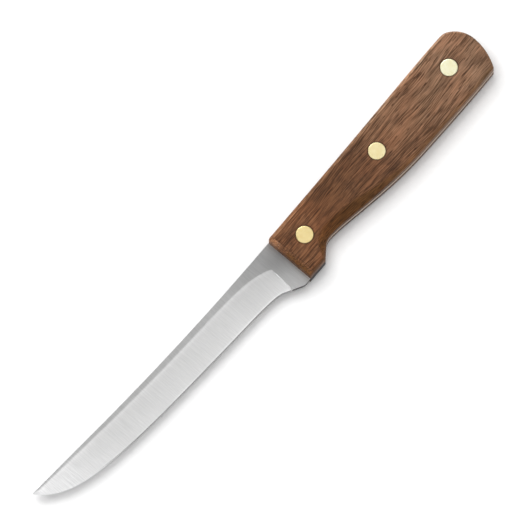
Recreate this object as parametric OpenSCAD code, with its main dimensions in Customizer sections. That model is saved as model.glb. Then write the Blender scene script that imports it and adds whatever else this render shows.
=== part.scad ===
// Boning knife with a full tang: one piece of steel, two handle scales and three two-piece rivets.
// X runs from the tip to the butt, Y from the cutting edge to the spine, Z out of the left scale.
// Outlines are laid out around the front rivet's axis, with Z = 0 in the middle of the tang.
// place() then moves every sub-part so that the knife lies on Z = 0 around the origin.

/* [Blade] */
// Length of the blade in front of the handle, along X
blade_run = 150.9; // [146:0.1:156]
// Height of the tip above the rivet line
tip_rise = 17; // [15.5:0.1:18]
// Height of the straight part of the spine above the rivet line
spine_rise = 10.5; // [9.8:0.1:10.7]
// Thickness of the blade and the tang
stock_t = 2.4; // [2:0.1:2.6]
// Thickness just above the sharpened bevel
bevel_t = 0.35; // [0.2:0.05:0.5]
// Width of the sharpened bevel
bevel_w = 0.8; // [0.5:0.1:1.1]
// Length of the unground ricasso in front of the handle, along the rivet line
ricasso_run = 7.8; // [7:0.1:8.5]

/* [Handle] */
// Length of the handle, along X
handle_run = 126.8; // [124:0.1:132]
// Thickness of the handle over both scales
handle_t = 15; // [14:0.5:17]
// Distance from the handle's front end to the front rivet
front_reach = 12.2; // [11.5:0.1:13]
// Depth of the finger guard below the rivet line
guard_drop = 13.8; // [13:0.1:14.5]
// Depth of the handle's neck below the rivet line
neck_drop = 8.4; // [8:0.1:8.8]
// Depth of the belly below the rivet line, where it straightens
belly_drop = 14.9; // [14.4:0.1:15.5]

/* [Rivets] */
// Distance between neighbouring rivets
rivet_pitch = 48.7; // [47:0.1:50]
// Diameter of a rivet's head
head_d = 7.8; // [7.4:0.1:8.4]
// Thickness of a rivet's head
head_t = 1.1; // [0.8:0.1:1.4]
// Outer diameter of the rivet's tube
tube_d = 4.8; // [4.4:0.1:5.2]
// Diameter of the rivet's post
post_d = 3.2; // [2.8:0.1:3.6]

/* [Hidden] */
$fn = 96;

steel = "silver";
walnut = "sienna";
brass = "khaki";

// Places along X: the handle's front end, its butt, the tip and the plunge of the grind
front_x = -front_reach;
butt_x = front_x + handle_run;
tip = [front_x - blade_run, tip_rise];
plunge_x = front_x - ricasso_run;
front_lean = 0.15;              // the front end leans by this much each way over its height
plunge_lean = 1.1;              // the plunge leans towards the tip by this much over its height

// Handle: the guard's back slope runs up into the neck through a fillet
guard_back = [-2.2, -guard_drop];
guard_slope = 38.5;
neck = [7.2, -neck_drop];
slope_top = guard_back[0] + (guard_drop - neck_drop) / tan(guard_slope);
fillet_r = (neck[0] - slope_top) / tan(guard_slope / 2);

// Handle: the belly is one slow curve down from the neck and one flat curve on to the butt
belly_start = [64, -belly_drop];
belly_fall = -0.0145;           // slope of the belly where the two curves meet
belly_end_dip = 0.6;            // how far the last control point lies below the butt's low corner

// Handle: the butt is three arcs, from its low corner round to the spine
butt_y = 0.2;                   // height of the butt's furthest point
butt_low_r = 27;
butt_low_angle = -34;
butt_high_r = 13;
butt_high_angle = 55;
shoulder_r = 6;
shoulder_angle = 89;
butt_low = [butt_x - butt_low_r, butt_y] + butt_low_r * [cos(butt_low_angle), sin(butt_low_angle)];
shoulder_centre = [butt_x - butt_high_r, butt_y]
    + (butt_high_r - shoulder_r) * [cos(butt_high_angle), sin(butt_high_angle)];
shoulder_top = shoulder_centre + shoulder_r * [cos(shoulder_angle), sin(shoulder_angle)];

// Handle: the spine side is one slow curve, a little proud of the blade's spine
front_top = [front_x + front_lean, spine_rise + 0.4];
front_low = [front_x - front_lean, -guard_drop];

// Blade: the spine is straight, then an arc, then straight up to the tip
spine_bend_x = plunge_x - 2;
spine_run = spine_bend_x - tip[0];
spine_lift = 1.6;               // how much steeper it ends than a straight line from the bend to the tip
spine_angle = atan(spine_lift * (tip_rise - spine_rise) / spine_run);
spine_r = (spine_run * tan(spine_angle) - tip_rise + spine_rise)
    / (sin(spine_angle) * tan(spine_angle) + cos(spine_angle) - 1);
spine_end_x = spine_bend_x - spine_r * sin(spine_angle);

// Blade: the cutting edge is one long curve, then the heel turns down a straight ramp to the guard
tip_pull = [10.8, -17];         // from the tip to the edge's first control point
edge_bend = [tip[0] + 31.5, -2.35];
edge_end = [-45, -6.5];
edge_fall = [19, -0.93];
ramp_top = [-23.5, -9.7];
ramp_way = [1, -0.55];
ramp_foot = ramp_top - ramp_way * (guard_drop + ramp_top[1]) / ramp_way[1];
corner_reach = 0.8;             // how far the rounding of the ramp's foot reaches each way
heel_end = [front_x + 0.2, -guard_drop];

// Grind line: how far it lies below the spine, and how much further down it is at the plunge
grind_drop = 2.3;
grind_tip_drop = 0.4;
grind_power = 1.9;
plunge_drop = 6.2;
plunge_fade = 10;
grind_rate = 0.075;             // half thickness gained per millimetre of height, where the blade is narrow

// Middle of the knife's box, and the height of the tang's middle above the table
belly_low_y = min([for (p = handle_outline()) p[1]]);
mid = [(tip[0] + butt_x) / 2, (tip_rise + belly_low_y) / 2];
lift = handle_t / 2;

// Points of a cubic curve from a to d, without the last point
function curve(a, b, c, d, n) = [
    for (i = [0 : n - 1]) let (t = i / n, s = 1 - t)
        s * s * s * a + 3 * s * s * t * b + 3 * s * t * t * c + t * t * t * d
];

// Points of an arc, without the last point
function arc(centre, r, from, to, n) = [
    for (i = [0 : n - 1]) let (a = from + (to - from) * i / n) centre + r * [cos(a), sin(a)]
];

// Outline of the handle, anticlockwise, as stretches: [points, rounding widths and depths at both ends]
function handle_stretches() = [
    [[front_low], 1.2, 1.2, 1.6, 1.6],
    [[guard_back], 1.2, 4.4, 1.6, 2.8],
    [arc(neck - [0, fillet_r], fillet_r, 90 + guard_slope, 90, 8), 4.4, 5, 2.8, 3.2],
    [curve(neck, neck + [9.5, 0], belly_start - 26 * [1, belly_fall], belly_start, 24), 5, 2.2, 3.2, 2.2],
    [curve(belly_start, belly_start + 16 * [1, belly_fall], butt_low - [12, belly_end_dip], butt_low, 8),
        2.2, 2, 2.2, 2.2],
    [arc([butt_x - butt_low_r, butt_y], butt_low_r, butt_low_angle, 0, 10), 1.1, 1.1, 1.2, 1.2],
    [arc([butt_x - butt_high_r, butt_y], butt_high_r, 0, butt_high_angle, 8), 1.1, 1.1, 1.2, 1.2],
    [arc(shoulder_centre, shoulder_r, butt_high_angle, shoulder_angle, 5), 1.1, 1.3, 1.2, 1.3],
    [curve(shoulder_top, shoulder_top + [-12.4, 0.65], front_top + [63, 0], front_top, 16), 1.3, 2, 1.3, 1.9],
    [[front_top], 2.4, 2.4, 2, 2]
];

// One row per vertex: [point, rounding width before it, rounding width after it, rounding depth]
function handle_rows() = let (all = handle_stretches(), last = len(all) - 1) [
    for (k = [0 : last])
        let (s = all[k], n = len(s[0]), before = all[k == 0 ? last : k - 1][2])
        for (i = [0 : n - 1])
            let (width = s[1] + (s[2] - s[1]) * i / n)
            [s[0][i], i == 0 ? before : width, width, s[3] + (s[4] - s[3]) * i / n]
];
function handle_outline() = [for (row = handle_rows()) row[0]];

function unit(v) = v / norm(v);
function left_of(v) = [-v[1], v[0]];

// A vertex moved inwards, by each neighbouring edge's own share of its rounding width
function inset(rows, i, share) =
    let (
        n = len(rows),
        p = rows[i][0],
        a = left_of(unit(p - rows[(i + n - 1) % n][0])),
        b = left_of(unit(rows[(i + 1) % n][0] - p)),
        turn = a[0] * b[1] - a[1] * b[0],
        wa = share * rows[i][1],
        wb = share * rows[i][2]
    )
    abs(turn) < 0.3
        ? p + unit(a + b) * (wa + wb) / 2
        : p + [wa * b[1] - wb * a[1], wb * a[0] - wa * b[0]] / turn;

// Half of the handle: rounded walls, cut flat on the tang's side and on the outside
round_steps = 7;
round_end = 72;                 // the rounding meets the flat face at a faint crease
module scale_body() {
    inner = stock_t / 2;
    outer = handle_t / 2;
    intersection() {
        scale_walls(inner - 1, outer);
        translate([front_x - 5, -handle_run / 2, inner]) cube([handle_run + 10, handle_run, outer - inner]);
    }
}

// The walls of a scale, from below its inner face to one step of rounding above its outer face
module scale_walls(below, outer) {
    rows = handle_rows();
    n = len(rows);
    walls = [
        for (j = [0 : round_steps + 1])
            let (angle = round_end * j / round_steps, share = (1 - cos(angle)) / (1 - cos(round_end)))
            for (i = [0 : n - 1])
                let (q = inset(rows, i, share), drop = rows[i][3] * (1 - sin(angle) / sin(round_end)))
                [q[0], q[1], outer - drop]
    ];
    points = concat([for (row = rows) [row[0][0], row[0][1], below]], walls);
    rings = round_steps + 3;
    faces = concat(
        [for (j = [0 : rings - 2]) for (i = [0 : n - 1])
            let (k = (i + 1) % n) each [
                [j * n + i, (j + 1) * n + i, j * n + k],
                [j * n + k, (j + 1) * n + i, (j + 1) * n + k]
            ]],
        [[for (i = [n - 1 : -1 : 0]) (rings - 1) * n + i]],
        [[for (i = [0 : n - 1]) i]]
    );
    polyhedron(points, faces);
}

// Stepped holes for the rivets: head seats open to the outer face, tube holes right through
module rivet_seats() {
    for (i = [0 : 2]) translate([i * rivet_pitch, 0, 0]) {
        cylinder(d = tube_d, h = handle_t);
        translate([0, 0, handle_t / 2 - head_t]) cylinder(d = head_d, h = handle_t);
    }
}

// Height of the blade's spine at x
function spine_y(x) =
    x > spine_bend_x ? spine_rise
    : x > spine_end_x ? spine_rise + spine_r - sqrt(pow(spine_r, 2) - pow(spine_bend_x - x, 2))
    : tip_rise - (x - tip[0]) * tan(spine_angle);

// Height of the line where the flat of the blade turns into the ground face
function grind_y(x) =
    let (
        along = max(0, spine_bend_x - x) / spine_run,
        drop = grind_drop * (1 - pow(along, grind_power)) + grind_tip_drop * along
    )
    spine_y(x) - drop - plunge_drop * exp((x - plunge_x) / plunge_fade);

// Cutting edge from the tip back to the plunge
edge_steps = 34;
function edge_points() = concat(
    curve(tip, tip + tip_pull, edge_bend, edge_end, edge_steps),
    [for (p = heel_points()) if (p[0] < plunge_x) p]
);

// The heel: a slow curve into the ramp, the ramp, its rounded foot and the flat in front of the handle
heel_steps = 16;
ramp_steps = 12;
corner_steps = 6;
corner_start = ramp_foot - corner_reach * ramp_way;
corner_end = ramp_foot + [corner_reach, 0];
function heel_points() = concat(
    curve(edge_end, edge_end + edge_fall, ramp_top - 2 * ramp_way, ramp_top, heel_steps),
    curve(ramp_top, ramp_top, corner_start, corner_start, ramp_steps),
    curve(corner_start, ramp_foot, ramp_foot, corner_end, corner_steps),
    [corner_end, heel_end]
);

// Cross-section of the ground blade at a point of its edge, from the spine round the edge and back
function section(p, slope) =
    let (
        x = p[0],
        top = spine_y(x),
        tall = max(top - p[1], 0.001),
        shoulder = p[1] + min(bevel_w * sqrt(1 + slope * slope), 0.5 * tall),
        line = max(min(grind_y(x), top - 0.01 * tall), shoulder + 0.3 * (top - shoulder)),
        half = min(stock_t / 2, bevel_t / 2 + grind_rate * tall) * min(1, tall / 2),
        low = min(bevel_t / 2, half)
    )
    [[x, top, half], [x, line, half], [x, shoulder, low], [x, p[1], 0],
     [x, shoulder, -low], [x, line, -half], [x, top, -half]];

// The ground part of the blade, from the tip to the plunge
module ground_blade() {
    edge = edge_points();
    last = len(edge) - 1;
    slopes = [
        for (i = [0 : last]) let (a = edge[max(i - 1, 0)], b = edge[min(i + 1, last)])
            (b[1] - a[1]) / (b[0] - a[0])
    ];
    seam_x = plunge_x + 0.3;        // a little way inside the ricasso
    seam = [seam_x, edge[last][1] + (seam_x - edge[last][0]) * slopes[last]];
    sections = concat([for (i = [1 : last]) section(edge[i], slopes[i])], [section(seam, slopes[last])]);
    points = concat([[tip[0], tip[1], 0]], [for (s = sections) each s]);
    m = 7;
    count = len(sections);
    start = function (k) 1 + k * m;
    faces = concat(
        [for (j = [0 : m - 1]) [0, start(0) + j, start(0) + (j + 1) % m]],
        [for (k = [0 : count - 2]) for (j = [0 : m - 1])
            let (a = start(k) + j, b = start(k) + (j + 1) % m) each [[a, a + m, b], [b, a + m, b + m]]],
        [[for (j = [m - 1 : -1 : 0]) start(count - 1) + j]]
    );
    polyhedron(points, faces);
}

// Outline of the ricasso and the tang, from the plunge to the butt
function tang_outline() = concat(
    [[plunge_x, spine_rise]],
    [for (p = heel_points()) if (p[0] >= plunge_x - plunge_lean) p],
    [for (p = handle_outline()) if (p[0] > front_x + 1) p],
    [[front_x + 1.5, front_top[1]], [front_x + 0.5, spine_rise]]
);

// The blade and the tang in one piece, with the rivets' holes
hole_play = 0.2;                // how much wider the tang's holes are than the tubes
module blade() {
    place() color(steel) difference() {
        union() {
            ground_blade();
            translate([0, 0, -stock_t / 2]) linear_extrude(stock_t) polygon(tang_outline());
        }
        for (i = [0 : 2]) translate([i * rivet_pitch, 0, -stock_t])
            cylinder(d = tube_d + hole_play, h = 2 * stock_t);
    }
}

module left_scale() {
    place() color(walnut) difference() {
        scale_body();
        rivet_seats();
    }
}

module right_scale() {
    place() color(walnut) mirror([0, 0, 1]) difference() {
        scale_body();
        rivet_seats();
    }
}

// Male half of a rivet: its head sits in the left scale and its post fills the tube
post_gap = 3;                   // how far the post ends above the other head's outer face
module rivet_post(index) {
    place() color(brass) translate([index * rivet_pitch, 0, 0]) {
        translate([0, 0, handle_t / 2 - head_t]) cylinder(d = head_d, h = head_t);
        translate([0, 0, post_gap - handle_t / 2]) cylinder(d = post_d, h = handle_t - post_gap);
    }
}

// Female half of a rivet: its head sits in the right scale and its tube runs through the tang
tube_gap = 0.4;                 // between the tube's end and the post's head
bore_floor = 2.4;               // height of the bore's bottom above the head's outer face
module rivet_tube(index) {
    place() color(brass) translate([index * rivet_pitch, 0, -handle_t / 2]) difference() {
        union() {
            cylinder(d = head_d, h = head_t);
            cylinder(d = tube_d, h = handle_t - head_t - tube_gap);
        }
        translate([0, 0, bore_floor]) cylinder(d = post_d, h = handle_t);
    }
}

module place() {
    translate([-mid[0], -mid[1], lift]) children();
}

blade();
left_scale();
right_scale();
rivet_post(0);  // front_rivet_post
rivet_tube(0);  // front_rivet_tube
rivet_post(1);  // middle_rivet_post
rivet_tube(1);  // middle_rivet_tube
rivet_post(2);  // rear_rivet_post
rivet_tube(2);  // rear_rivet_tube
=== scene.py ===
import math

import bmesh
import bpy
import numpy as np
from mathutils import Matrix, Vector
from mathutils.geometry import delaunay_2d_cdt


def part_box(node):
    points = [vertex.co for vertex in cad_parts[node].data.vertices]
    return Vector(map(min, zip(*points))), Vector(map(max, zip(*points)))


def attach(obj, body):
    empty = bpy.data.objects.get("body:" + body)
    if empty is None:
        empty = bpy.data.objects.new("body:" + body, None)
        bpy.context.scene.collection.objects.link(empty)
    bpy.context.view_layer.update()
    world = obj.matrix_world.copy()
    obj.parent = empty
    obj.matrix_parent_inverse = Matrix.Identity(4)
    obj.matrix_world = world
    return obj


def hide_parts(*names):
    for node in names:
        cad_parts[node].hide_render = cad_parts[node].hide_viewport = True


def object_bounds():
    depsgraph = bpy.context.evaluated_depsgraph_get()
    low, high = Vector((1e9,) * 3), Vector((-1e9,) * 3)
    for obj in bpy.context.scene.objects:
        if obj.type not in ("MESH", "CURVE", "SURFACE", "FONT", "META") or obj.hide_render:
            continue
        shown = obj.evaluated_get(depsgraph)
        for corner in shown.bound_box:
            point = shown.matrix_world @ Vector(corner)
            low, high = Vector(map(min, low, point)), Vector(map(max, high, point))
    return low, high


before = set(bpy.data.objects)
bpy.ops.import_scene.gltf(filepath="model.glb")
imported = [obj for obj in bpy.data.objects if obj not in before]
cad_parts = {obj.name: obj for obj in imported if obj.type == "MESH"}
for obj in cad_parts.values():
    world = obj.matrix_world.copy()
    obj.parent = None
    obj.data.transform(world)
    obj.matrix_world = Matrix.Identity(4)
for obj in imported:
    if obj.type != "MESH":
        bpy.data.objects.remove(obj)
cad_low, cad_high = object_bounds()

# A boning knife: a ground steel blade with a full tang, two walnut scales and three two-piece brass rivets

MM = 0.001


# ---------------------------------------------------------------- places and sizes, from the frame

def middle(node):
    low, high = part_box(node)
    return (low + high) / 2


post_low, post_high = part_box("front_rivet_post")
blade_low, blade_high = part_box("blade")
scale_low, scale_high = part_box("left_scale")
floor_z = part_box("right_scale")[0].z
front_rivet = middle("front_rivet_post")

# Outlines are laid out in millimetres around the front rivet's axis, with Z = 0 in the middle of the tang
ORIGIN = np.array([front_rivet.x, front_rivet.y, (blade_low.z + blade_high.z) / 2])
STOCK = (blade_high.z - ORIGIN[2]) / MM              # half of the steel's thickness
HANDLE = (scale_high.z - ORIGIN[2]) / MM             # half of the handle's thickness
PITCH = (middle("middle_rivet_post").x - ORIGIN[0]) / MM
HEAD_R = (post_high.x - post_low.x) / 2 / MM
HEAD_T = 1.1
TUBE_R = 2.4
POST_R = 1.6
LEAN = 0.15                                          # the handle's front end leans by this much each way
FRONT_X = (scale_low.x - ORIGIN[0]) / MM + LEAN
BUTT_X = (blade_high.x - ORIGIN[0]) / MM
TIP = np.array([(blade_low.x - ORIGIN[0]) / MM, (blade_high.y - ORIGIN[1]) / MM])
SPINE_Y = 10.5


# ---------------------------------------------------------------- curves

def curve(a, b, c, d, n):
    """n points of a cubic curve from a to d, with b and c as its control points."""
    a, b, c, d = (np.array(p) for p in (a, b, c, d))
    t = np.linspace(0, 1, n)[:, None]
    s = 1 - t
    return s ** 3 * a + 3 * s * s * t * b + 3 * s * t * t * c + t ** 3 * d


def arc(centre, r, start, end, n):
    t = np.radians(np.linspace(start, end, n))
    return np.array(centre) + r * np.stack([np.cos(t), np.sin(t)], -1)


def line(a, b, n):
    return np.array(a) + np.linspace(0, 1, n)[:, None] * (np.array(b) - np.array(a))


def joined(*parts):
    """The parts end to end, without the points that they share."""
    return np.concatenate([parts[0]] + [p[1:] for p in parts[1:]])


def along(points):
    """Distance from the start to each point."""
    return np.concatenate([[0], np.cumsum(np.linalg.norm(np.diff(points, axis=0), axis=1))])


def polar(angle):
    return np.array([math.cos(math.radians(angle)), math.sin(math.radians(angle))])


def ease(t):
    t = np.clip(t, 0, 1)
    return t * t * (3 - 2 * t)


# ---------------------------------------------------------------- outline of the handle

# The guard's back slope runs up into the neck through a fillet
GUARD_Y = -13.8
GUARD_SLOPE = 38.5
front_top = np.array([FRONT_X + LEAN, SPINE_Y + 0.4])
front_low = np.array([FRONT_X - LEAN, GUARD_Y])
guard_back = np.array([-2.2, GUARD_Y])
neck = np.array([7.2, -8.4])
slope_top_x = guard_back[0] + (neck[1] - GUARD_Y) / math.tan(math.radians(GUARD_SLOPE))
fillet_r = (neck[0] - slope_top_x) / math.tan(math.radians(GUARD_SLOPE / 2))

# The belly is one slow curve down from the neck and one flat curve on to the butt
belly = np.array([64, -14.9])
belly_way = np.array([1, -0.0145])

# The butt is three arcs, from its low corner round to the spine
BUTT_Y = 0.2                                         # height of its furthest point
LOW_R, LOW_ANGLE = 27, -34
HIGH_R, HIGH_ANGLE = 13, 55
SHOULDER_R, SHOULDER_ANGLE = 6, 89
low_centre = np.array([BUTT_X - LOW_R, BUTT_Y])
high_centre = np.array([BUTT_X - HIGH_R, BUTT_Y])
butt_low = low_centre + LOW_R * polar(LOW_ANGLE)
shoulder_centre = high_centre + (HIGH_R - SHOULDER_R) * polar(HIGH_ANGLE)
shoulder_top = shoulder_centre + SHOULDER_R * polar(SHOULDER_ANGLE)


def upper_handle(high_steps, shoulder_steps):
    """The upper part of the butt and the spine side, from the butt's furthest point to the front end."""
    return joined(
        arc(high_centre, HIGH_R, 0, HIGH_ANGLE, high_steps),
        arc(shoulder_centre, SHOULDER_R, HIGH_ANGLE, SHOULDER_ANGLE, shoulder_steps),
        curve(shoulder_top, shoulder_top + [-12.4, 0.65], front_top + [63, 0], front_top, 240),
    )


fillet = arc(neck - [0, fillet_r], fillet_r, 90 + GUARD_SLOPE, 90, 40)
belly_side = joined(
    line(guard_back, fillet[0], 30),
    fillet,
    curve(neck, neck + [9.5, 0], belly - 26 * belly_way, belly, 160),
    curve(belly, belly + 16 * belly_way, butt_low - [12, 0.6], butt_low, 90),
)
back_side = joined(arc(low_centre, LOW_R, LOW_ANGLE, 0, 60), upper_handle(50, 24))

# Rounding of each side of the scales: [X of the place, width, depth, how straight its profile is]
BELLY_ROUNDING = [
    (-2.2, 1.4, 3.4, 0.1), (0, 2.5, 3, 0.25), (2, 3.5, 2.8, 0.35), (4.6, 4.5, 2.8, 0.45),
    (8, 5.4, 3, 0.5), (16, 5.4, 3, 0.5), (25, 5.3, 3, 0.5), (30, 4.6, 2.8, 0.4),
    (37, 3.6, 2.6, 0.25), (45, 2.8, 2.4, 0.1), (60, 2.2, 2.2, 0), (110, 2, 2.2, 0),
]
BACK_ROUNDING = [
    (-13, 2, 1.8, 0.6), (40, 1.7, 1.6, 0.6), (90, 1.4, 1.4, 0.6),
    (104, 1.3, 1.3, 0.5), (109, 1.1, 1.2, 0), (115, 1.1, 1.2, 0),
]
FRONT_ROUNDING = [(-20, 2.4, 2, 0.3), (0, 2.4, 2, 0.3)]
GUARD_ROUNDING = [(-20, 1.2, 3.4, 0), (0, 1.4, 3.4, 0)]


def rounded(points, table):
    """Each point with its rounding's width, depth and straightness, looked up along X."""
    table = np.array(table, float)
    return points, np.stack([np.interp(points[:, 0], table[:, 0], table[:, i]) for i in (1, 2, 3)], -1)


# The sides of the scales, anticlockwise, and how many points each has in a ring of the mesh
HANDLE_SIDES = [
    rounded(line(front_low, guard_back, 40), GUARD_ROUNDING),
    rounded(belly_side, BELLY_ROUNDING),
    rounded(back_side, BACK_ROUNDING),
    rounded(line(front_top, front_low, 90), FRONT_ROUNDING),
]
SIDE_COUNTS = [30, 300, 360, 70]
CORNER_REACH = 4                                     # points each way that the front top corner is rounded over


# ---------------------------------------------------------------- mesh helpers

def inward(points):
    """Unit normals of an anticlockwise outline's side, pointing into the outline."""
    way = np.gradient(points, axis=0)
    way /= np.linalg.norm(way, axis=1)[:, None]
    return np.stack([-way[:, 1], way[:, 0]], -1)


def extended(points, reach=2.0):
    """The polyline with a straight, level stretch added at both ends, so that neighbours always cross."""
    ends = []
    for tip, before in ((points[0], points[1]), (points[-1], points[-2])):
        way = (tip - before) * [1, 1, 0]
        ends.append(tip + way / np.linalg.norm(way) * reach)
    return np.concatenate([[ends[0]], points, [ends[1]]])


def crossing(first, second, reach=60, slack=1e-9, parallel=1e-12):
    """Where the end of one polyline crosses the start of the next: (place along each)."""
    p, q = first[:-1, :2], np.diff(first[:, :2], axis=0)
    for j in range(min(len(second) - 1, reach)):
        r, s = second[j, :2], second[j + 1, :2] - second[j, :2]
        cross = q[:, 0] * s[1] - q[:, 1] * s[0]
        cross = np.where(np.abs(cross) < parallel, parallel, cross)
        gap = r - p
        t = (gap[:, 0] * s[1] - gap[:, 1] * s[0]) / cross
        u = (gap[:, 0] * q[:, 1] - gap[:, 1] * q[:, 0]) / cross
        hits = np.nonzero((t >= -slack) & (t <= 1 + slack) & (u >= -slack) & (u <= 1 + slack))[0]
        if len(hits):
            i = hits[-1]
            return i + t[i], j + u[i]
    raise ValueError("two sides of an outline don't meet")


def at(points, place):
    """The point at a place along a polyline, counted in points."""
    i = min(int(place), len(points) - 2)
    return points[i] + (place - i) * (points[i + 1] - points[i])


def resampled(points, start, end, n):
    """n points, evenly spaced from one place along a polyline to another, without the last one."""
    between = points[int(math.floor(start)) + 1:int(math.ceil(end))]
    cut = np.concatenate([[at(points, start)], between, [at(points, end)]])
    dist = along(cut[:, :2])
    want = np.linspace(0, dist[-1], n + 1)[:-1]
    return np.stack([np.interp(want, dist, cut[:, i]) for i in range(cut.shape[1])], -1)


def handle_ring(share, height):
    """One closed ring of points around a scale.

    Every side is moved inwards by the share of its rounding width, and cut where it crosses its neighbours.
    """
    moved = []
    for points, rounding in HANDLE_SIDES:
        shift = points + inward(points) * (rounding[:, :1] * share)
        moved.append(extended(np.concatenate([shift, height(rounding)[:, None]], 1)))
    total = len(moved)
    cuts = [crossing(moved[k], moved[(k + 1) % total]) for k in range(total)]
    ring = np.concatenate([
        resampled(moved[k], cuts[k - 1][1], cuts[k][0], SIDE_COUNTS[k]) for k in range(total)
    ])
    return eased_corner(ring, len(ring) - SIDE_COUNTS[-1], CORNER_REACH)


def eased_corner(ring, corner, reach):
    """The ring with the corner at an index rounded off over a number of points to each side."""
    t = np.linspace(0, 1, 2 * reach + 1)[:, None]
    start, tip, end = ring[corner - reach], ring[corner], ring[corner + reach]
    ring[corner - reach:corner + reach + 1] = (1 - t) ** 2 * start + 2 * t * (1 - t) * tip + t * t * end
    return ring


def inside(points, loop):
    """Which points lie inside a closed loop."""
    x, y = points[:, 0][:, None], points[:, 1][:, None]
    a, b = loop, np.roll(loop, -1, 0)
    crosses = (a[:, 1] > y) != (b[:, 1] > y)
    with np.errstate(divide="ignore", invalid="ignore"):
        where = a[:, 0] + (y - a[:, 1]) * (b[:, 0] - a[:, 0]) / (b[:, 1] - a[:, 1])
    return (crosses & (x < where)).sum(1) % 2 == 1


class Builder:
    """Collects vertices in millimetres and faces, then makes one closed mesh object."""

    SPACING = 3.0                                    # between the points that fill a flat face
    CLEARANCE = 0.45                                 # share of it that they keep from the face's edges
    SMALLEST = 1e-4                                  # triangles with less area than this are left out
    SAME_POINT = 1e-6

    def __init__(self):
        self.points, self.faces, self.count = [], [], 0

    def add(self, points):
        start = self.count
        self.points.append(np.asarray(points, float))
        self.count += len(points)
        return np.arange(start, self.count)

    def strip(self, a, b):
        """A band of faces between two closed rings."""
        n = len(a)
        for i in range(n):
            k = (i + 1) % n
            self.faces.append((a[i], a[k], b[k], b[i]))

    def filling(self, loop, holes):
        """Points on a grid inside the loop, clear of its edge and of the holes."""
        low, high = loop.min(0), loop.max(0)
        gx, gy = np.meshgrid(np.arange(low[0] + 1, high[0], self.SPACING),
                             np.arange(low[1] + 1, high[1], self.SPACING))
        grid = np.stack([gx.ravel(), gy.ravel()], -1)
        edges = np.concatenate([loop, *holes])
        room = self.CLEARANCE * self.SPACING
        clear = np.array([np.min(np.linalg.norm(edges - g, axis=1)) > room for g in grid])
        grid = grid[clear & inside(grid, loop)]
        for hole in holes:
            grid = grid[~inside(grid, hole)]
        return grid

    def cap(self, loop, holes):
        """Fills a flat loop with well-shaped triangles, leaving the holes open."""
        xyz = np.concatenate(self.points)
        outline, openings = xyz[loop, :2], [xyz[h, :2] for h in holes]
        z = float(xyz[loop].mean(0)[2])
        grid = self.filling(outline, openings)
        extra = self.add(np.concatenate([grid, np.full((len(grid), 1), z)], 1))
        ids = np.concatenate([loop, *holes, extra])
        where = np.concatenate([outline, *openings, grid])
        rims, start = [], 0
        for ring in [loop, *holes]:
            n = len(ring)
            rims += [(start + i, start + (i + 1) % n) for i in range(n)]
            start += n
        out = delaunay_2d_cdt([Vector(p) for p in where], rims, [], 0, self.SAME_POINT)
        source = [group[0] for group in out[3]]
        triangles = np.array([[source[i] for i in f] for f in out[2]])
        corners = where[triangles]
        a, b = corners[:, 1] - corners[:, 0], corners[:, 2] - corners[:, 0]
        area = np.abs(a[:, 0] * b[:, 1] - a[:, 1] * b[:, 0]) / 2
        centres = corners.mean(1)
        keep = (area > self.SMALLEST) & inside(centres, outline)
        for opening in openings:
            keep &= ~inside(centres, opening)
        for f in triangles[keep]:
            self.faces.append(tuple(int(ids[i]) for i in f))

    def lathe(self, centre, profile, n):
        """Rings of a turned shape about an upright axis; returns the first and the last ring."""
        turn = np.linspace(0, 2 * math.pi, n, endpoint=False)
        rings = []
        for r, z in profile:
            ring = np.stack([centre[0] + r * np.cos(turn), centre[1] + r * np.sin(turn), np.full(n, z)], -1)
            rings.append(self.add(ring))
        for a, b in zip(rings[:-1], rings[1:]):
            self.strip(a, b)
        return rings[0], rings[-1]

    def object(self, name, flip_z=False, weld=1e-7):
        xyz = np.concatenate(self.points)
        if flip_z:
            xyz = xyz * [1, 1, -1]
        mesh = bpy.data.meshes.new(name)
        mesh.from_pydata((xyz * MM + ORIGIN).tolist(), [], [tuple(int(i) for i in f) for f in self.faces])
        bm = bmesh.new()
        bm.from_mesh(mesh)
        bmesh.ops.remove_doubles(bm, verts=bm.verts, dist=weld)
        bmesh.ops.dissolve_degenerate(bm, edges=bm.edges, dist=weld)
        loose = [v for v in bm.verts if not v.link_faces]
        bmesh.ops.delete(bm, geom=loose, context="VERTS")
        bmesh.ops.recalc_face_normals(bm, faces=bm.faces)
        bm.to_mesh(mesh)
        bm.free()
        piece = bpy.data.objects.new(name, mesh)
        bpy.context.scene.collection.objects.link(piece)
        return piece


def turned(name, index, profile, n):
    """A closed turned object on the axis of the rivet with that index."""
    b = Builder()
    first, last = b.lathe((index * PITCH, 0), profile, n)
    b.faces += [tuple(first), tuple(last)]
    return b.object(name)


def smooth(piece, angle):
    """Smooth shading, except across edges sharper than the angle."""
    mesh = piece.data
    mesh.polygons.foreach_set("use_smooth", [True] * len(mesh.polygons))
    mesh.set_sharp_from_angle(angle=math.radians(angle))
    mesh.update()


# ---------------------------------------------------------------- handle scales

ROUND_END = 72                                       # the rounding meets the flat face at a faint crease
ROUND_STEPS = 12
WALL_STEPS = (0.35, 0.7)                             # rings on the upright wall, as shares of its height
CREASE_BORDER = 1.12                                 # a narrow flat border keeps the crease crisp
GAP = 0.05                                           # between a rivet and its hole
SEAT_MOUTH = 0.12                                    # depth of the wider mouth of a head's seat
SEAT_FLARE = (0.17, 0.07)                            # the gap at the face, and at the mouth's bottom
SEAT_SIDES = 72


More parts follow.
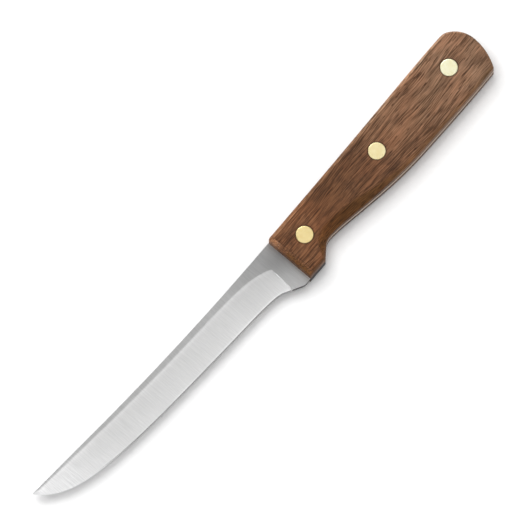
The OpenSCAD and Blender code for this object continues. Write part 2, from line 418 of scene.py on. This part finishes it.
def scale_rings():
    """Rings up the outside of a scale, from its inner face over the rounding to its flat outer face."""
    rings = [handle_ring(0, lambda r: np.full(len(r), STOCK))]
    for part in WALL_STEPS:
        rings.append(handle_ring(0, lambda r: STOCK + part * (HANDLE - r[:, 1] - STOCK)))
    end = math.radians(ROUND_END)
    for j in range(ROUND_STEPS + 1):
        angle = math.radians(ROUND_END * j / ROUND_STEPS)
        share = (1 - math.cos(angle)) / (1 - math.cos(end))
        rise = math.sin(angle) / math.sin(end)
        rings.append(handle_ring(
            share, lambda r: HANDLE - r[:, 1] * (1 - (rise + (share - rise) * r[:, 2]))))
    rings.append(handle_ring(CREASE_BORDER, lambda r: np.full(len(r), HANDLE)))
    return rings


def scale_piece(name, flip_z):
    b = Builder()
    ids = [b.add(r) for r in scale_rings()]
    for low, high in zip(ids[:-1], ids[1:]):
        b.strip(low, high)
    seat = [
        (HEAD_R + SEAT_FLARE[0], HANDLE),
        (HEAD_R + SEAT_FLARE[1], HANDLE - SEAT_MOUTH),
        (HEAD_R + GAP, HANDLE - HEAD_T),
        (TUBE_R + GAP, HANDLE - HEAD_T),
        (TUBE_R + GAP, STOCK),
    ]
    seats = [b.lathe((i * PITCH, 0), seat, SEAT_SIDES) for i in range(3)]
    b.cap(ids[-1], [s[0] for s in seats])
    b.cap(ids[0], [s[1] for s in seats])
    piece = b.object(name, flip_z)
    smooth(piece, 30)
    return piece


scale_left = scale_piece("scale_left", False)
scale_right = scale_piece("scale_right", True)


# ---------------------------------------------------------------- outline and grind of the blade and the tang

# The spine is straight, then an arc, then straight up to the tip
PLUNGE_X = FRONT_X - 7.8
BEND_X = PLUNGE_X - 2
SPINE_RUN = BEND_X - TIP[0]
SPINE_LIFT = 1.6                                     # how much steeper it ends than a straight line would
SPINE_ANGLE = math.atan(SPINE_LIFT * (TIP[1] - SPINE_Y) / SPINE_RUN)
SPINE_R = (SPINE_RUN * math.tan(SPINE_ANGLE) - TIP[1] + SPINE_Y) / (
    math.sin(SPINE_ANGLE) * math.tan(SPINE_ANGLE) + math.cos(SPINE_ANGLE) - 1)
SPINE_END_X = BEND_X - SPINE_R * math.sin(SPINE_ANGLE)

# The grind line lies a little below the spine, and falls towards the plunge
GRIND_DROP, GRIND_POWER, GRIND_TIP_DROP = 2.3, 1.9, 0.4
PLUNGE_DROP, PLUNGE_FADE = 6.2, 10

# The plunge leans towards the tip as it comes down, and runs out over a short way
PLUNGE_LEAN, PLUNGE_TOP, PLUNGE_TALL = 1.1, 1.4, 13
PLUNGE_RUN = 0.45

# The bevel gets wider near the tip, and the edges that aren't sharp are broken
BEVEL_W, TIP_BEVEL_W = 0.4, 0.85
BEVEL_WIDENS, BEVEL_WIDENING = 45, 25                # from this far from the tip, over this length
BEVEL_HALF = 0.15                                    # half thickness above the bevel
GRIND_RATE = 0.075                                   # half thickness gained per millimetre of height
BREAK, TANG_BREAK, EDGE_BREAK = 0.14, 0.04, 0.05     # of the spine, the tang, and at most of the lower side
SLOPE_REACH = 0.2                                    # the edge's slope is taken over this much each way
FULL_REACH = 12                                      # the full thickness reaches this far before the plunge
SOFT_W, SOFT_GAIN = 0.5, 0.4                         # width of the soft grind line, and its gain forwards
SOFT_START, SOFT_RUN = 3, 30                         # from this far before the plunge, over this length

# The cutting edge is one long curve, then the heel turns down a straight ramp to the guard
FOOT_REACH = 0.8                                     # of the rounding of the ramp's foot, each way
tip_pull = np.array([10.8, -17])                     # from the tip to the edge's first control point
edge_bend = np.array([TIP[0] + 31.5, -2.35])
edge_end = np.array([-45, -6.5])
edge_fall = np.array([19, -0.93])
ramp_top = np.array([-23.5, -9.7])
ramp_way = np.array([1, -0.55])
ramp_foot = ramp_top + ramp_way * (GUARD_Y - ramp_top[1]) / ramp_way[1]
foot_start, foot_end = ramp_foot - FOOT_REACH * ramp_way, ramp_foot + [FOOT_REACH, 0]
lower_side = joined(
    curve(TIP, TIP + tip_pull, edge_bend, edge_end, 400),
    curve(edge_end, edge_end + edge_fall, ramp_top - 2 * ramp_way, ramp_top, 160),
    line(ramp_top, foot_start, 60),
    curve(foot_start, ramp_foot, ramp_foot, foot_end, 30),
    line(foot_end, guard_back, 60),
    belly_side,
    arc(low_centre, LOW_R, LOW_ANGLE, 0, 200),
)
upper_tang = upper_handle(120, 40)[::-1]


def lower_y(x):
    return np.interp(x, lower_side[:, 0], lower_side[:, 1])


def blade_spine(x):
    bend = SPINE_Y + SPINE_R - np.sqrt(np.maximum(SPINE_R ** 2 - (BEND_X - x) ** 2, 0))
    straight = TIP[1] - (x - TIP[0]) * math.tan(SPINE_ANGLE)
    return np.where(x > BEND_X, SPINE_Y, np.where(x > SPINE_END_X, bend, straight))


def upper_y(x):
    """Height of the blade's spine, and behind it of the tang's, which is a little higher."""
    start, end = FRONT_X + 0.5, FRONT_X + 1.5
    rise = np.interp(x, [start, end], [SPINE_Y, front_top[1]])
    tang = np.interp(x, upper_tang[:, 0], upper_tang[:, 1])
    return np.where(x < end, np.where(x < start, blade_spine(x), rise), tang)


def grind_y(x):
    """Height of the line where the flat of the blade turns into the ground face."""
    x = np.minimum(x, PLUNGE_X)
    part = np.maximum(0, BEND_X - x) / SPINE_RUN
    drop = GRIND_DROP * (1 - part ** GRIND_POWER) + GRIND_TIP_DROP * part
    return blade_spine(x) - drop - PLUNGE_DROP * np.exp((x - PLUNGE_X) / PLUNGE_FADE)


def plunge_line(y):
    """X of the plunge at a height."""
    return PLUNGE_X - PLUNGE_LEAN * np.clip((PLUNGE_TOP - y) / PLUNGE_TALL, -0.2, 1.2)


def grind_profile(down):
    """How much of the thickness is gone, from 0 at the grind line to 1 at the bevel. It is nearly straight."""
    return 0.93 * down + 0.028 * (1 - np.exp(-down / 0.07)) + 0.042 * down ** 3


# ---------------------------------------------------------------- blade and tang

# Stations from the tip to the butt: close together at the tip, the plunge, the heel and the butt
stations = np.concatenate([
    TIP[0] + 7 * np.linspace(0, 1, 26) ** 1.8,
    np.arange(TIP[0] + 7.5, PLUNGE_X - 5, 0.55),
    np.arange(PLUNGE_X - 4.6, PLUNGE_X + 1.5, 0.12),
    np.arange(PLUNGE_X + 1.8, guard_back[0], 0.4),
    np.arange(guard_back[0], 12, 0.45),
    np.arange(12.5, butt_low[0] - 0.8, 0.9),
    BUTT_X - (BUTT_X - butt_low[0]) * np.linspace(1, 0, 40) ** 2,
])

# Rows up each side: the edge, the ground face with rows closer together towards the grind line, the flat,
# the spine
GROUND = 1 - (1 - np.linspace(0, 1, 26)) ** 1.25
FLAT = np.linspace(0, 1, 9)
ROWS = len(GROUND) + len(FLAT) + 1

# Rows follow the plunge's lean from this far before it to this far behind it, and start and stop over this
PULL_FROM, PULL_TO = 9, 6.5
PULL_IN, PULL_OUT = 6, 4


def blade_rows(x0):
    """Points (x, y, half thickness) up one side of the blade at a station, from the edge to the spine."""
    # near the plunge, each row moves along X to follow the plunge's lean
    pull = ease((x0 - (PLUNGE_X - PULL_FROM)) / PULL_IN) * ease((PLUNGE_X + PULL_TO - x0) / PULL_OUT)
    x = np.full(ROWS, float(x0))
    for _ in range(3):
        low, top = lower_y(x), upper_y(x)
        tall = np.maximum(top - low, 1e-3)
        slope = (lower_y(x + SLOPE_REACH) - lower_y(x - SLOPE_REACH)) / (2 * SLOPE_REACH)
        ground = 1 - ease((x - plunge_line(low) + PLUNGE_RUN) / PLUNGE_RUN)    # 0 behind the plunge
        wide = BEVEL_W + (TIP_BEVEL_W - BEVEL_W) * ease((TIP[0] + BEVEL_WIDENS - x) / BEVEL_WIDENING)
        bevel = np.minimum(wide * np.sqrt(1 + slope ** 2), 0.4 * tall)
        step = np.minimum(np.where(x < FRONT_X, BREAK, TANG_BREAK), 0.1 * tall)
        foot = np.minimum(step, EDGE_BREAK)
        shoulder = low + foot + (bevel - foot) * ground
        ridge = np.clip(grind_y(x), shoulder + 0.3 * (top - shoulder), top - 0.02 * tall - step)
        y = np.empty(ROWS)
        n = len(GROUND)
        y[0] = low[0]
        y[1:1 + n] = shoulder[1:1 + n] + GROUND * (ridge - shoulder)[1:1 + n]
        y[n:-1] = ridge[n:-1] + FLAT * (top - step - ridge)[n:-1]
        y[-1] = top[-1]
        x = x0 + pull * (plunge_line(y) - PLUNGE_X)
        x = np.minimum(np.maximum(x, TIP[0]), BUTT_X)

    # the blade gets thinner where it is narrow, and comes to a point at the tip
    thick = np.minimum(STOCK, BEVEL_HALF + GRIND_RATE * tall) * np.minimum(1, tall / 2)
    thick = np.where(x > PLUNGE_X - FULL_REACH, STOCK, thick)
    bevel_half = np.minimum(BEVEL_HALF, thick)

    # the grind starts softly at the grind line, and ends at the plunge
    deep, run = np.maximum(ridge - y, 0), np.maximum(ridge - shoulder, 1e-6)
    soft = np.minimum(SOFT_W + SOFT_GAIN * ease((PLUNGE_X - SOFT_START - x) / SOFT_RUN), 0.5 * run)
    down = np.where(deep < soft, deep ** 2 / (2 * soft), deep - soft / 2) / (run - soft / 2)
    t = np.clip((plunge_line(y) - x) / PLUNGE_RUN, 0, 1)
    half = thick - (thick - bevel_half) * grind_profile(np.clip(down, 0, 1)) * (1 - (1 - t) ** 2)
    half[0] = (thick[0] - foot[0]) * (1 - t[0])
    half[-1] = thick[-1] - step[-1]
    if x0 <= TIP[0]:
        half[:] = 0
    return np.stack([x, y, half], -1)


HOLE_R, HOLE_SIDES = TUBE_R + 0.1, 64                # the tang's holes for the rivets


def cut_away(piece, tool):
    """Subtracts a closed object from a piece, and removes it."""
    cut = piece.modifiers.new("cut", "BOOLEAN")
    cut.operation, cut.object, cut.solver = "DIFFERENCE", tool, "EXACT"
    made = bpy.data.meshes.new_from_object(piece.evaluated_get(bpy.context.evaluated_depsgraph_get()))
    piece.modifiers.clear()
    piece.data = made
    bpy.data.objects.remove(tool)


def blade_piece():
    b = Builder()
    sections = [blade_rows(x) for x in stations]
    left = [b.add(s) for s in sections]
    right = [b.add(s * [1, 1, -1]) for s in sections]
    for k in range(len(stations) - 1):
        for i in range(ROWS - 1):
            b.faces.append((left[k][i], left[k + 1][i], left[k + 1][i + 1], left[k][i + 1]))
            b.faces.append((right[k][i], right[k][i + 1], right[k + 1][i + 1], right[k + 1][i]))
        b.faces.append((left[k][-1], left[k + 1][-1], right[k + 1][-1], right[k][-1]))
        b.faces.append((right[k][0], right[k + 1][0], left[k + 1][0], left[k][0]))
    piece = b.object("knife_blade", weld=2e-6)
    for i in range(3):
        cut_away(piece, turned("drill", i, [(HOLE_R, -2 * STOCK), (HOLE_R, 2 * STOCK)], HOLE_SIDES))
    piece.data.name = "knife_blade"
    smooth(piece, 28)
    return piece


knife_blade = blade_piece()


# ---------------------------------------------------------------- rivets

RIVET_SIDES = 96
SINK = 0.01                                          # the heads lie this far below the scales' faces
CROWN = 0.006                                        # and are this much higher in their middle
# Rounded rim of a head: [how much narrower than the head, depth]
RIM = [(0.4, 0), (0.28, 0.015), (0.1, 0.08), (0.02, 0.2), (0.02, HEAD_T)]
POST_GAP, POST_TAPER = 3, 0.4                        # from the right face to the post's end, and its chamfer
TUBE_GAP, TUBE_TAPER = 0.4, (0.15, 0.2)              # from the tube's end to the left head, and its chamfer
BORE_R, BORE_MOUTH = POST_R + 0.02, POST_R + 0.1
MOUTH_T, BORE_FLOOR = 0.1, 2.4                       # depth of the bore's wider mouth; height of its bottom


def head_rings():
    """(radius, depth) of a rivet head, from its middle over its rounded rim to its underside."""
    inner = [(r, -CROWN * (1 - (r / HEAD_R) ** 2)) for r in np.linspace(0.25, HEAD_R - 0.55, 9)]
    return inner + [(HEAD_R - narrower, depth) for narrower, depth in RIM]


def rivet_post(name, index):
    profile = [(r, HANDLE - SINK - d) for r, d in head_rings()]
    profile += [
        (POST_R, HANDLE - HEAD_T - SINK),
        (POST_R, POST_GAP + POST_TAPER - HANDLE),
        (POST_R - POST_TAPER, POST_GAP - HANDLE),
    ]
    piece = turned(name, index, profile, RIVET_SIDES)
    smooth(piece, 40)
    return piece


def rivet_tube(name, index):
    top = HANDLE - HEAD_T - TUBE_GAP
    profile = [(r, d + SINK - HANDLE) for r, d in head_rings()]
    profile += [
        (TUBE_R, HEAD_T + SINK - HANDLE),
        (TUBE_R, top - TUBE_TAPER[1]),
        (TUBE_R - TUBE_TAPER[0], top),
        (BORE_MOUTH, top),
        (BORE_R, top - MOUTH_T),
        (BORE_R, BORE_FLOOR - HANDLE),
    ]
    piece = turned(name, index, profile, RIVET_SIDES)
    smooth(piece, 40)
    return piece


rivets = []
for index, place in enumerate(("front", "middle", "rear")):
    rivets.append((rivet_post(f"rivet_{place}_post", index), f"{place}_rivet_post"))
    rivets.append((rivet_tube(f"rivet_{place}_tube", index), f"{place}_rivet_tube"))


# ---------------------------------------------------------------- materials

class Nodes:
    """A short way to write a procedural material."""

    def __init__(self, name):
        self.material = bpy.data.materials.new(name)
        self.material.use_nodes = True
        self.tree = self.material.node_tree
        self.tree.nodes.clear()
        self.shader = self.node("ShaderNodeBsdfPrincipled")
        output = self.node("ShaderNodeOutputMaterial")
        self.link(self.shader.outputs[0], output.inputs[0])

    def node(self, kind, **settings):
        made = self.tree.nodes.new(kind)
        for key, value in settings.items():
            setattr(made, key, value)
        return made

    def link(self, source, socket):
        if isinstance(source, (int, float)):
            socket.default_value = source
        elif isinstance(source, (tuple, list)):
            socket.default_value = (*source, 1.0)[:len(socket.default_value)]
        else:
            self.tree.links.new(source, socket)

    def math(self, operation, *values):
        made = self.node("ShaderNodeMath", operation=operation)
        for value, socket in zip(values, made.inputs):
            self.link(value, socket)
        return made.outputs[0]

    def plus(self, a, b):
        return self.math("ADD", a, b)

    def minus(self, a, b):
        return self.math("SUBTRACT", a, b)

    def times(self, a, b):
        return self.math("MULTIPLY", a, b)

    def place(self):
        """X, Y and Z in millimetres from the front rivet's axis and the middle of the tang."""
        coords = self.node("ShaderNodeTexCoord").outputs["Object"]
        moved = self.node("ShaderNodeVectorMath", operation="SUBTRACT")
        self.link(coords, moved.inputs[0])
        moved.inputs[1].default_value = ORIGIN
        scaled = self.node("ShaderNodeVectorMath", operation="SCALE")
        self.link(moved.outputs[0], scaled.inputs[0])
        scaled.inputs["Scale"].default_value = 1 / MM
        split = self.node("ShaderNodeSeparateXYZ")
        self.link(scaled.outputs[0], split.inputs[0])
        return split.outputs

    def facing_y(self):
        """How far the mesh faces up along Y, without its smooth shading."""
        split = self.node("ShaderNodeSeparateXYZ")
        self.link(self.node("ShaderNodeNewGeometry").outputs["True Normal"], split.inputs[0])
        return split.outputs[1]

    def vector(self, x, y, z):
        made = self.node("ShaderNodeCombineXYZ")
        for value, socket in zip((x, y, z), made.inputs):
            self.link(value, socket)
        return made.outputs[0]

    def stretched(self, coords, factors):
        """A vector of the coordinates, each multiplied by its own factor."""
        return self.vector(*(self.times(c, f) for c, f in zip(coords, factors)))

    def vector_length(self, x, y):
        return self.math("SQRT", self.plus(self.times(x, x), self.times(y, y)))

    def noise(self, vector, detail, rough=0.5, scale=1.0):
        made = self.node("ShaderNodeTexNoise")
        self.link(vector, made.inputs["Vector"])
        made.inputs["Scale"].default_value = scale
        made.inputs["Detail"].default_value = detail
        made.inputs["Roughness"].default_value = rough
        return made.outputs["Fac"]

    def span(self, value, low, high, to_low=0.0, to_high=1.0, smoothstep=False):
        """The value's place between low and high, as a place between the other two, and no further."""
        made = self.node("ShaderNodeMapRange", clamp=True)
        if smoothstep:
            made.interpolation_type = "SMOOTHSTEP"
        for item, socket in zip((value, low, high, to_low, to_high), made.inputs):
            self.link(item, socket)
        return made.outputs[0]

    def mix(self, factor, a, b, blend="MIX"):
        made = self.node("ShaderNodeMix", data_type="RGBA", blend_type=blend)
        self.link(factor, made.inputs[0])
        self.link(a, made.inputs[6])
        self.link(b, made.inputs[7])
        return made.outputs[2]

    def tinted(self, mask, colour, tint):
        """The colour, multiplied by the tint where the mask is 1."""
        return self.mix(mask, colour, self.mix(1.0, colour, tint, "MULTIPLY"))

    def bump(self, height, distance):
        made = self.node("ShaderNodeBump")
        made.inputs["Distance"].default_value = distance
        self.link(height, made.inputs["Height"])
        self.link(made.outputs[0], self.shader.inputs["Normal"])


def across_grain(n, x, y, z):
    """Distance across the fibres: they fan out towards the butt, waver slowly, and ripple near the front."""
    wave = n.minus(n.noise(n.stretched((x, y, z), (0.02, 0.05, 0.05)), 2), 0.5)
    ripple = n.minus(n.noise(n.stretched((x, y, z), (0.14, 0.12, 0.1)), 1), 0.5)
    fan = n.span(x, 5, 75, 1, 0.72, True)
    across = n.plus(n.times(n.minus(y, 1), fan), n.times(x, -0.012))
    across = n.plus(across, n.times(wave, 3.4))
    across = n.plus(across, n.times(ripple, n.span(x, 45, 0, 0.15, 0.6, True)))
    return n.plus(across, n.times(z, 0.8))


def wood_ends_and_painted_light(n, colour, x, y, z):
    """The wood's colour with its end grain and the dark rims round its rivets, and painted light: a sheen along
    the spine, shade on the finger side, a shadow under the guard and a shade line at the front crease.
    """
    # end grain on the rounded front end: short smears across the handle, and a painted shade line at the crease
    # where the flat starts
    smears = n.span(n.noise(n.stretched((x, y, z), (1.3, 0.3, 0.6)), 3, 0.6), 0.52, 0.7)
    end = n.span(x, FRONT_X + 2.5, FRONT_X + 2.1)
    colour = n.mix(n.times(n.times(smears, end), 0.5), colour, (0.25, 0.135, 0.085))
    painted_crease_line = n.times(n.span(x, FRONT_X + 2.2, FRONT_X + 2.45), n.span(x, FRONT_X + 2.9, FRONT_X + 2.55))
    colour = n.mix(n.times(painted_crease_line, 0.4), colour, (0.04, 0.018, 0.01))
    # painted sheen: lighter along the spine's rounded edge, where it catches the light
    fall = n.minus(HANDLE, n.math("ABSOLUTE", z))
    painted_spine_sheen = n.times(n.span(fall, 0.03, 0.15), n.span(y, 4, 6))
    colour = n.tinted(painted_spine_sheen, colour, (1.8, 2.0, 2.15))
    # painted shade on the finger side, which faces away from the light
    painted_finger_shade = n.times(n.span(fall, 0.03, 0.7, 0, 1, True), n.span(y, 1, 0))
    painted_finger_shade = n.times(painted_finger_shade, n.span(x, 30, 60, 1, 0.5))
    colour = n.tinted(painted_finger_shade, colour, (0.82, 0.79, 0.56))
    # painted shadow: the right scale's wall on the finger side, nearly black under the guard and darker brown
    # further back
    painted_underside = n.times(n.span(n.facing_y(), -0.6, -0.9), n.span(z, 0, -1))
    shaded = n.mix(1.0, colour, (0.6, 0.55, 0.5), "MULTIPLY")
    colour = n.mix(painted_underside, colour, n.mix(n.span(x, -2, 4), (0.012, 0.008, 0.006), shaded))
    # a dark rim around each rivet
    along_row = n.times(n.minus(n.math("FRACT", n.plus(n.math("DIVIDE", x, PITCH), 0.5)), 0.5), PITCH)
    rim = n.span(n.vector_length(along_row, y), HEAD_R + 0.2, HEAD_R + 0.6, 1, 0)
    return n.mix(n.times(rim, 0.5), colour, (0.035, 0.014, 0.006))


def walnut_material():
    n = Nodes("walnut_oiled")
    x, y, z = n.place()
    across, depth = across_grain(n, x, y, z), n.times(z, 0.9)

    def streaks(along_x, over, detail, rough, seed):
        """Noise drawn out along the fibres: its frequency along X and across them."""
        spot = n.vector(n.plus(n.times(x, along_x), seed), n.times(across, over), n.times(depth, over))
        return n.noise(spot, detail, rough)

    figure = streaks(0.035, 0.17, 3, 0.55, 3.1)
    bands = streaks(0.06, 1.1, 2, 0.6, 11.7)
    fibre = streaks(0.12, 3.2, 2, 0.5, 23.9)
    pores = n.span(streaks(0.24, 3.2, 1, 0.5, 41.3), 0.62, 0.72)
    glints = n.span(streaks(0.13, 3.4, 1, 0.5, 71.9), 0.56, 0.72)

    tone = n.plus(n.times(figure, 0.2), n.plus(n.times(bands, 0.15), n.times(fibre, 0.65)))
    colour = n.mix(n.span(tone, 0.38, 0.62), (0.058, 0.024, 0.0098), (0.24, 0.105, 0.048))
    red = n.noise(n.vector(n.times(x, 0.06), n.times(across, 0.14), 9.0), 2, 0.5)
    colour = n.tinted(n.span(red, 0.4, 0.62), colour, (1.02, 0.94, 0.9))
    # paler towards the butt, darker at the neck, and darker in patches
    colour = n.tinted(n.span(x, 20, 100), colour, (1.36, 1.74, 2.25))
    neck_shade = n.times(n.span(x, 2, 14, 0, 1, True), n.span(x, 58, 38, 0, 1, True))
    colour = n.tinted(neck_shade, colour, (0.76, 0.75, 0.73))
    patch = n.noise(n.vector(n.times(x, 0.11), n.times(across, 0.19), 5.0), 3, 0.6)
    patch = n.times(n.span(patch, 0.5, 0.64), n.span(x, 75, 40, 0.3, 1.0, True))
    colour = n.tinted(patch, colour, (0.7, 0.7, 0.72))
    colour = n.tinted(n.times(glints, 0.5), colour, (1.45, 1.6, 1.8))
    colour = n.mix(n.times(pores, 0.75), colour, (0.034, 0.0135, 0.006))
    n.link(wood_ends_and_painted_light(n, colour, x, y, z), n.shader.inputs["Base Color"])
    n.link(n.plus(n.span(fibre, 0.3, 0.7, 0.46, 0.56), n.times(pores, 0.2)), n.shader.inputs["Roughness"])
    n.shader.inputs["Specular IOR Level"].default_value = 0.12
    n.bump(n.minus(n.times(fibre, 0.4), n.times(pores, 0.9)), 0.00006)
    return n.material


def steel_material():
    n = Nodes("brushed_blade_steel")
    x, y, z = n.place()

    # grinding lines across the blade, coarser towards the tip, where the colour is also lighter as a painted
    # brighter reflection
    lines = n.noise(n.stretched((x, y, z), (2.2, 0.08, 0.3)), 4, 0.65)
    hairs = n.noise(n.stretched((x, y, z), (9.0, 0.25, 0.5)), 3, 0.6)
    cloud = n.noise(n.vector(n.times(x, 0.09), n.times(y, 0.07), 7.0), 2, 0.5)
    tone = n.plus(n.times(lines, 0.6), n.times(hairs, 0.4))
    fine = n.mix(n.span(tone, 0.3, 0.7), (0.63, 0.63, 0.627), (0.8, 0.798, 0.794))
    coarse_and_painted_bright = n.mix(n.span(tone, 0.36, 0.64), (0.66, 0.66, 0.662), (0.92, 0.92, 0.92))
    colour = n.mix(n.span(x, TIP[0] + 40, TIP[0] + 8, 0, 1, True), fine, coarse_and_painted_bright)
    # a few slanted scratches, and slow clouds
    slanted = n.vector(n.times(n.plus(x, n.times(y, 0.22)), 2.2), n.times(y, 0.15), 3.0)
    scratch = n.span(n.noise(slanted, 2, 0.5), 0.68, 0.74)
    colour = n.mix(n.times(scratch, 0.3), colour, (0.95, 0.95, 0.95))
    colour = n.mix(n.span(cloud, 0.3, 0.7, 0, 0.12), colour, (0.65, 0.65, 0.65))
    # painted reflection: darker at the heel, above all towards the spine and on a spot of the ricasso, where
    # the steel reflects less light
    heel = n.span(x, -45, -18)
    colour = n.tinted(n.times(n.span(y, -11, 4), heel), colour, (0.72, 0.72, 0.72))
    colour = n.tinted(heel, colour, (1.03, 1.03, 1.03))
    spot = n.vector_length(n.times(n.plus(x, 15.5), 0.15), n.times(n.plus(y, -2), 0.14))
    colour = n.mix(n.span(spot, 1.2, 0, 0, 0.35, True), colour, (0.3, 0.3, 0.3))
    # painted shade: the sharpened bevel is darker, where it reflects less light, least so at the tip
    facing = n.facing_y()
    bevel = n.times(n.span(facing, -0.16, -0.22), n.span(x, -140, -115, 0.15, 1))
    colour = n.tinted(bevel, colour, (0.5, 0.5, 0.5))
    # painted reflections on the faces that look down: dark on the heel's edge faces, where they reflect the
    # shadowed floor, and warm on the tang's, where they reflect the wood
    painted_underside = n.span(facing, -0.6, -0.85)
    colour = n.mix(painted_underside, colour, n.mix(n.span(x, -2, 5), (0.07, 0.07, 0.072), (0.6, 0.5, 0.42)))
    n.link(colour, n.shader.inputs["Base Color"])
    n.shader.inputs["Metallic"].default_value = 1.0
    rough = n.plus(n.span(tone, 0.3, 0.7, 0.3, 0.38), n.span(cloud, 0.3, 0.7, -0.03, 0.03))
    n.link(n.math("MULTIPLY_ADD", painted_underside, 0.5, rough), n.shader.inputs["Roughness"])
    n.shader.inputs["Anisotropic"].default_value = 0.8
    tangent = n.node("ShaderNodeTangent", direction_type="RADIAL", axis="Y")
    n.link(tangent.outputs[0], n.shader.inputs["Tangent"])
    n.bump(n.plus(n.times(lines, 0.7), n.times(hairs, 0.3)), 0.000012)
    return n.material


def brass_material():
    n = Nodes("sanded_brass")
    x, y, z = n.place()
    sanding = n.noise(n.stretched((x, y, z), (1.1, 9.0, 2.0)), 3, 0.6)
    cloud = n.noise(n.stretched((x, y, z), (0.5, 0.5, 0.5)), 2, 0.5)
    colour = n.mix(n.span(cloud, 0.3, 0.7), (0.9, 0.72, 0.33), (0.95, 0.79, 0.41))
    # painted reflection: the heads get paler towards the butt, where they reflect more light
    colour = n.tinted(n.span(x, 22, 95), colour, (1.05, 1.24, 1.76))
    colour = n.mix(n.span(sanding, 0.55, 0.75, 0, 0.25), colour, (0.7, 0.53, 0.25))
    n.link(colour, n.shader.inputs["Base Color"])
    n.shader.inputs["Metallic"].default_value = 1.0
    n.link(n.span(sanding, 0.3, 0.7, 0.36, 0.48), n.shader.inputs["Roughness"])
    n.bump(sanding, 0.000012)
    return n.material


def floor_material():
    n = Nodes("studio_floor")
    grain = n.noise(n.vector(*n.place()), 2, 0.5, scale=0.4)
    colour = n.mix(n.span(grain, 0.3, 0.7), (0.96, 0.96, 0.96), (0.98, 0.98, 0.98))
    n.link(colour, n.shader.inputs["Base Color"])
    n.shader.inputs["Roughness"].default_value = 0.95
    n.shader.inputs["Specular IOR Level"].default_value = 0.1
    return n.material


walnut, steel, brass = walnut_material(), steel_material(), brass_material()


def finished(piece, material, slot, *nodes):
    piece.data.materials.clear()
    piece.data.materials.append(material)
    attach(piece, "root")
    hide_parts(*nodes)


finished(knife_blade, steel, "blade_steel", "blade")
finished(scale_left, walnut, "walnut", "left_scale")
finished(scale_right, walnut, "walnut", "right_scale")
for piece, node in rivets:
    finished(piece, brass, "rivet_brass", node)


# ---------------------------------------------------------------- floor, light and camera

FLOOR_REACH = 6.0
FLOOR_CORNERS = [(-1, -1), (1, -1), (1, 1), (-1, 1)]
floor_mesh = bpy.data.meshes.new("floor")
floor_points = [(i * FLOOR_REACH, j * FLOOR_REACH, floor_z) for i, j in FLOOR_CORNERS]
floor_mesh.from_pydata(floor_points, [], [(0, 1, 2, 3)])
floor_mesh.materials.append(floor_material())
floor = bpy.data.objects.new("floor", floor_mesh)
bpy.context.scene.collection.objects.link(floor)

world = bpy.data.worlds.new("studio")
world.use_nodes = True
world.node_tree.nodes["Background"].inputs["Color"].default_value = (1, 1, 1, 1)
world.node_tree.nodes["Background"].inputs["Strength"].default_value = 0.5
bpy.context.scene.world = world


def area_light(name, target, direction, distance, size, radiance, seen_by):
    """A soft box at a distance from the target, facing it. It lights matt surfaces or shows in gloss."""
    data = bpy.data.lights.new(name, "AREA")
    data.shape = "RECTANGLE"
    data.size, data.size_y = size
    data.energy = radiance * math.pi * size[0] * size[1]
    lamp = bpy.data.objects.new(name, data)
    way = Vector(direction).normalized()
    lamp.location = Vector(target) + way * distance
    lamp.rotation_mode = "QUATERNION"
    lamp.rotation_quaternion = way.to_track_quat("Z", "Y")
    lamp.visible_camera = False
    lamp.visible_glossy = seen_by == "gloss"
    lamp.visible_diffuse = seen_by == "matt"
    bpy.context.scene.collection.objects.link(lamp)


centre = (cad_low + cad_high) / 2
area_light("key", centre, (0.08, 0.36, 0.93), 1.6, (1.0, 0.9), 4.4, "matt")
area_light("fill", centre, (0, 0, 1), 1.6, (1.0, 0.8), 3.2, "matt")
area_light("overhead", centre + Vector((0.1, -0.235, 0)), (0, 0, 1), 1.3, (1.8, 0.42), 1.1, "gloss")
area_light("side", centre, (0.35, 0.7, 0.62), 0.7, (0.5, 0.3), 5.6, "gloss")
area_light("front", centre, (-0.85, 0.15, 0.5), 0.8, (0.6, 0.6), 1.2, "gloss")

# A long lens far away, looking at a point by the ricasso
AZIMUTH, ELEVATION, DISTANCE = math.radians(-49.845), math.radians(77.5), 10.0
VIEW_WIDTH = 228.09675 * MM
SENSOR = 36
look = ORIGIN + np.array([-20.08, 7.01, 0]) * MM
right = Vector((math.cos(AZIMUTH), math.sin(AZIMUTH), 0))
back = Vector((
    math.sin(AZIMUTH) * math.cos(ELEVATION),
    -math.cos(AZIMUTH) * math.cos(ELEVATION),
    math.sin(ELEVATION),
))
up = back.cross(right)
camera_data = bpy.data.cameras.new("camera")
camera_data.sensor_width = SENSOR
camera_data.lens = SENSOR * DISTANCE / VIEW_WIDTH
camera_data.clip_start, camera_data.clip_end = 0.1, 100
camera = bpy.data.objects.new("camera", camera_data)
camera.location = Vector(look) + back * DISTANCE
camera.rotation_mode = "QUATERNION"
camera.rotation_quaternion = Matrix((right, up, back)).transposed().to_quaternion()
bpy.context.scene.collection.objects.link(camera)
bpy.context.scene.camera = camera
bpy.context.scene.view_settings.view_transform = "Standard"
